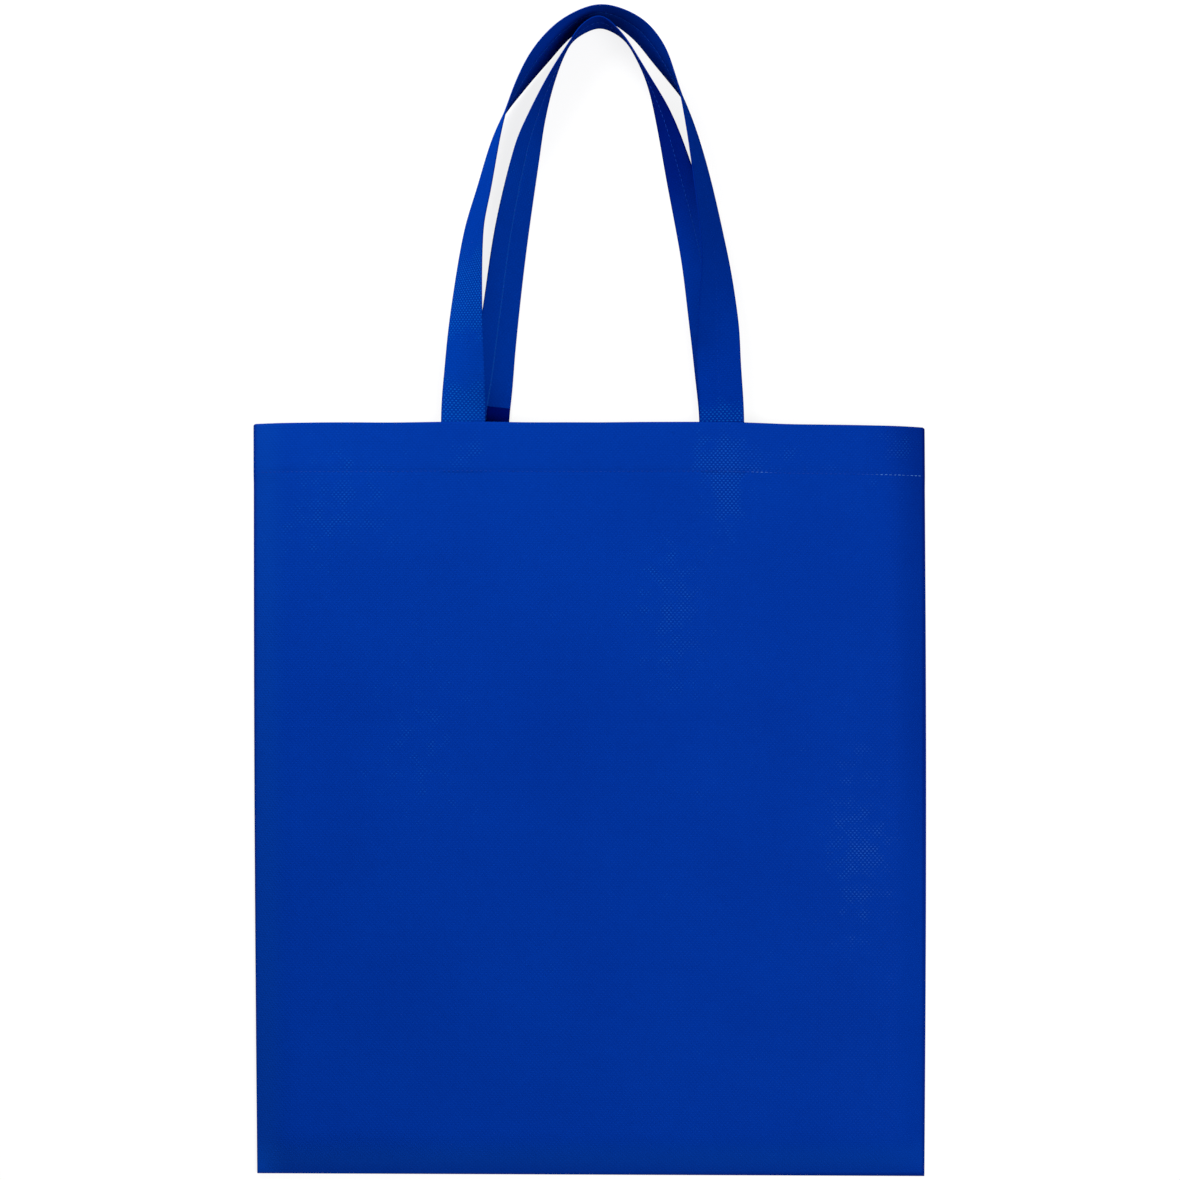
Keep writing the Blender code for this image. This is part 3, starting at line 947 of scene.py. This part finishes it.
# each strap's painted light and shade: its left leg painted lighter, its right leg painted darker, its inner
# face painted darker near the top, places of painted highlight on the dots and places of painted shade
# leg 0 is the left one; then the place above the mouth, how far it spreads and how much
frontLook = {
    "cut": False,
    "paintedLight": 0.12,
    "dark": 0.16,
    "innerDark": 0.10,
    "paintedGlint": (
        (0, 0.008, 0.030, 0.60),
        (0, 0.072, 0.040, 0.80),
        (0, 0.150, 0.030, 0.20),
        (1, 0.003, 0.018, 0.60),
    ),
    "shade": ((1, 0.120, 0.070, 0.12), (1, 0.190, 0.060, 0.10), (0, 0.125, 0.070, 0.14)),
}
backLook = {
    "cut": True,
    "paintedLight": 0.06,
    "dark": 0.05,
    "innerDark": 0.42,
    "paintedGlint": ((0, 0.130, 0.040, 0.20), (1, 0.060, 0.040, 0.15)),
    "shade": ((1, 0.152, 0.072, 0.66), (0, 0.004, 0.030, 0.15)),
}
inset = 2 * bagBody["ply"] + handles["clearance"] + handles["strapThickness"] / 2
backLeft, backRise = legLeft + handles["backLegStep"], handles["rise"] - handles["nestStep"]
frontPath = handlePath(legLeft, legRight, handles["rise"], bagBody["depth"] - inset, frontPlaces)
backPath = handlePath(backLeft, legRight, backRise, inset, backPlaces)
frontStrap, frontFrames = makeStrap("frontStrap", frontPath, 1, frontFinish, frontLook)
backStrap, backFrames = makeStrap("backStrap", addStops(backPath, strap["cutBack"]), -1, backFinish, backLook)
print("straps made", len(frontStrap.data.polygons), "and", len(backStrap.data.polygons), "faces")


# stitches, by geometry nodes along each seam's line

stitchBead = {"segments": 8, "rings": 6, "shortest": 0.9, "longest": 1.06, "seed": 7}


def makeStitchTree():
    tree = bpy.data.node_groups.new("stitchRow", "GeometryNodeTree")
    sockets = tree.interface
    sockets.new_socket(name="Seam", in_out="INPUT", socket_type="NodeSocketGeometry")
    for name, key in (("Pitch", "pitch"), ("Stitch Length", "length"), ("Thread", "thickness")):
        socket = sockets.new_socket(name=name, in_out="INPUT", socket_type="NodeSocketFloat")
        socket.default_value = hemStitch[key]
    sockets.new_socket(name="Finish", in_out="INPUT", socket_type="NodeSocketMaterial")
    sockets.new_socket(name="Stitches", in_out="OUTPUT", socket_type="NodeSocketGeometry")
    start = addNode(tree, "NodeGroupInput")
    end = addNode(tree, "NodeGroupOutput")
    even = addNode(tree, "GeometryNodeResampleCurve")
    even.mode = "LENGTH"
    join(tree, start.outputs["Seam"], even.inputs["Curve"])
    join(tree, start.outputs["Pitch"], even.inputs["Length"])
    tangent = addNode(tree, "GeometryNodeInputTangent")
    turn = addNode(tree, "FunctionNodeAlignRotationToVector")
    turn.axis = "X"
    join(tree, tangent.outputs["Tangent"], turn.inputs["Vector"])
    wobble = addNode(tree, "FunctionNodeRandomValue", data_type="FLOAT")
    wobble.inputs[2].default_value = stitchBead["shortest"]
    wobble.inputs[3].default_value = stitchBead["longest"]
    wobble.inputs["Seed"].default_value = stitchBead["seed"]
    bead = addNode(tree, "GeometryNodeMeshUVSphere")
    bead.inputs["Segments"].default_value = stitchBead["segments"]
    bead.inputs["Rings"].default_value = stitchBead["rings"]
    bead.inputs["Radius"].default_value = 0.5
    smooth = addNode(tree, "GeometryNodeSetShadeSmooth")
    join(tree, bead.outputs["Mesh"], smooth.inputs["Geometry"])
    size = addNode(tree, "ShaderNodeCombineXYZ")
    length = mathNode(tree, "MULTIPLY", start.outputs["Stitch Length"], wobble.outputs[1])
    join(tree, length, size.inputs["X"])
    join(tree, start.outputs["Thread"], size.inputs["Y"])
    join(tree, start.outputs["Thread"], size.inputs["Z"])
    place = addNode(tree, "GeometryNodeInstanceOnPoints")
    join(tree, even.outputs["Curve"], place.inputs["Points"])
    join(tree, smooth.outputs["Geometry"], place.inputs["Instance"])
    join(tree, turn.outputs["Rotation"], place.inputs["Rotation"])
    join(tree, size.outputs["Vector"], place.inputs["Scale"])
    real = addNode(tree, "GeometryNodeRealizeInstances")
    join(tree, place.outputs["Instances"], real.inputs["Geometry"])
    paint = addNode(tree, "GeometryNodeSetMaterial")
    join(tree, real.outputs["Geometry"], paint.inputs["Geometry"])
    join(tree, start.outputs["Finish"], paint.inputs["Material"])
    join(tree, paint.outputs["Geometry"], end.inputs["Stitches"])
    return tree


stitchTree = makeStitchTree()


def stitchMesh(name, lines, stitch):
    curve = bpy.data.curves.new(name + "Line", "CURVE")
    curve.dimensions = "3D"
    for line in lines:
        spline = curve.splines.new("POLY")
        spline.points.add(len(line) - 1)
        for point, place in zip(spline.points, line):
            point.co = (*place, 1)
    source = addObject(name + "Line", curve)
    modifier = source.modifiers.new("stitches", "NODES")
    modifier.node_group = stitchTree
    values = {
        "Pitch": stitch["pitch"],
        "Stitch Length": stitch["length"],
        "Thread": stitch["thickness"],
        "Finish": threadFinish,
    }
    for item in stitchTree.interface.items_tree:
        if item.in_out == "INPUT" and item.name in values:
            modifier[item.identifier] = values[item.name]
    evaluated = source.evaluated_get(bpy.context.evaluated_depsgraph_get())
    mesh = bpy.data.meshes.new_from_object(evaluated)
    mesh.name = name
    source.modifiers.remove(modifier)
    bpy.data.objects.remove(source)
    return addObject(name, mesh)


def hemLine(top):
    limit = bagBody["width"] / 2 - hemStitch["sideInset"]
    y = -bagBody["stitchDrop"]
    points = []
    for step in range(hemStitch["steps"] + 1):
        x = -limit + 2 * limit * step / hemStitch["steps"]
        if top:
            z = frontHeight(x, y, rollAt(0.0)) + hemStitch["topLift"]
        else:
            z = max(backHeight(x, y), hemStitch["backLift"]) + hemStitch["backLift"]
        points.append(toWorld(settle(Vector((x, y, z)))))
    return points


def strapLine(frames, side):
    # side 1 is the smooth outer face, -1 the face with the seam
    surface = side * handles["strapThickness"] / 2
    if side > 0:
        rise = surface - strap["outerDip"] + strapStitch["outerLift"]
    else:
        rise = surface + strap["seamDip"] - strapStitch["innerLift"]
    seam = strap["seamShift"]
    return [toWorld(centre + width * seam + outward * rise) for centre, width, outward in frames]


def strapStitches(name, frames):
    return stitchMesh(name, [strapLine(frames, 1), strapLine(frames, -1)], strapStitch)


hemStitches = stitchMesh("hemStitches", [hemLine(True), hemLine(False)], hemStitch)
frontSeam = strapStitches("frontStrapStitches", frontFrames)
backSeam = strapStitches("backStrapStitches", backFrames)
print("stitches made", [len(piece.data.polygons) for piece in (hemStitches, frontSeam, backSeam)])


# each piece hangs from the root, and the CAD part that it stands for is hidden

for piece, node, slotName in (
    (bagSheet, "bag_body", "sheet"),
    (frontStrap, "front_handle", "front_strap"),
    (backStrap, "back_handle", "back_strap"),
):
    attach(piece, "root")
    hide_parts(node)
for piece, slotName in ((hemStitches, "sheet"), (frontSeam, "front_strap"), (backSeam, "back_strap")):
    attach(piece, "root")


# table, light and camera

studio = {
    "worldStrength": 0.20,
    "fillPower": 13.2,
    "fillSize": 0.9,
    "fillPlace": (0.640, -0.280, 1.230),
    "keyPower": 5.9,
    "keySize": 0.5,
    "keyPlace": (-0.422, 0.653, 0.425),
    "lightAim": (0.0, 0.0, 0.0),
    "tableReach": 20.0,
    "tableColour": 0.75,  # what the object gets back from it
    "tableDiffuse": 0.22,  # what the camera sees: some shadow, and the rest of it glow
    "tableGlow": 0.84,
    "tableFade": (0.55, 1.8),  # from here to here the shadow's share fades to plain white
    "cameraHeight": 1.2015,
    "cameraPlace": (0.00043, 0.0029),
    "lens": 64.35,
    "sensor": 36.0,
}


def seenDirectly(tree):
    # 1 for what the camera sees, also in a reflection or through glass, 0 for light that bounces
    path = addNode(tree, "ShaderNodeLightPath")
    mirrored = mathNode(tree, "MAXIMUM", path.outputs["Is Glossy Ray"], path.outputs["Is Transmission Ray"])
    return mathNode(tree, "MAXIMUM", path.outputs["Is Camera Ray"], mirrored)


def makeTable():
    mesh = bpy.data.meshes.new("tableTop")
    reach = studio["tableReach"]
    corners = [(-reach, -reach, 0), (reach, -reach, 0), (reach, reach, 0), (-reach, reach, 0)]
    mesh.from_pydata(corners, [], [(0, 1, 2, 3)])
    table = addObject("tableTop", mesh)
    material = bpy.data.materials.new("whiteTable")
    material.use_nodes = True
    tree = material.node_tree
    tree.nodes.remove(tree.nodes["Principled BSDF"])
    output = tree.nodes["Material Output"]
    plain = addNode(tree, "ShaderNodeBsdfDiffuse")
    plain.inputs["Color"].default_value = (*[studio["tableColour"]] * 3, 1)
    seen = addNode(tree, "ShaderNodeBsdfDiffuse")
    glow = addNode(tree, "ShaderNodeEmission")
    glow.inputs["Color"].default_value = (1, 1, 1, 1)
    place = addNode(tree, "ShaderNodeTexCoord")
    away = addNode(tree, "ShaderNodeVectorMath", operation="LENGTH")
    join(tree, place.outputs["Object"], away.inputs[0])
    distance = away.outputs["Value"]
    shadow = mapRange(tree, distance, *studio["tableFade"], studio["tableDiffuse"], 0.0)
    strength = mapRange(tree, distance, *studio["tableFade"], studio["tableGlow"], 1.0)
    join(tree, shadow, seen.inputs["Color"])
    join(tree, strength, glow.inputs["Strength"])
    both = addNode(tree, "ShaderNodeAddShader")
    join(tree, seen.outputs[0], both.inputs[0])
    join(tree, glow.outputs[0], both.inputs[1])
    shown = seenDirectly(tree)
    mix = addNode(tree, "ShaderNodeMixShader")
    join(tree, shown, mix.inputs["Fac"])
    join(tree, plain.outputs[0], mix.inputs[1])
    join(tree, both.outputs[0], mix.inputs[2])
    join(tree, mix.outputs[0], output.inputs["Surface"])
    mesh.materials.append(material)


def makeWorld():
    world = bpy.data.worlds.new("whiteStudio")
    bpy.context.scene.world = world
    world.use_nodes = True
    tree = world.node_tree
    back = tree.nodes["Background"]
    back.inputs["Color"].default_value = (1, 1, 1, 1)
    shown = seenDirectly(tree)
    strength = mapRange(tree, shown, 0.0, 1.0, studio["worldStrength"], 1.0, smooth=False)
    join(tree, strength, back.inputs["Strength"])


def addAreaLight(name, place, aim, power, size):
    light = bpy.data.lights.new(name, "AREA")
    light.energy = power
    light.size = size
    lamp = addObject(name, light)
    lamp.location = place
    lamp.rotation_euler = (Vector(aim) - Vector(place)).to_track_quat("-Z", "Y").to_euler()


makeTable()
makeWorld()
addAreaLight("keyLight", studio["keyPlace"], studio["lightAim"], studio["keyPower"], studio["keySize"])
addAreaLight("fillLight", studio["fillPlace"], studio["lightAim"], studio["fillPower"], studio["fillSize"])
cameraData = bpy.data.cameras.new("camera")
cameraData.lens = studio["lens"]
cameraData.sensor_width = studio["sensor"]
camera = addObject("camera", cameraData)
camera.location = (*studio["cameraPlace"], studio["cameraHeight"])
bpy.context.scene.camera = camera
bpy.context.scene.view_settings.view_transform = "Standard"
print("studio made")
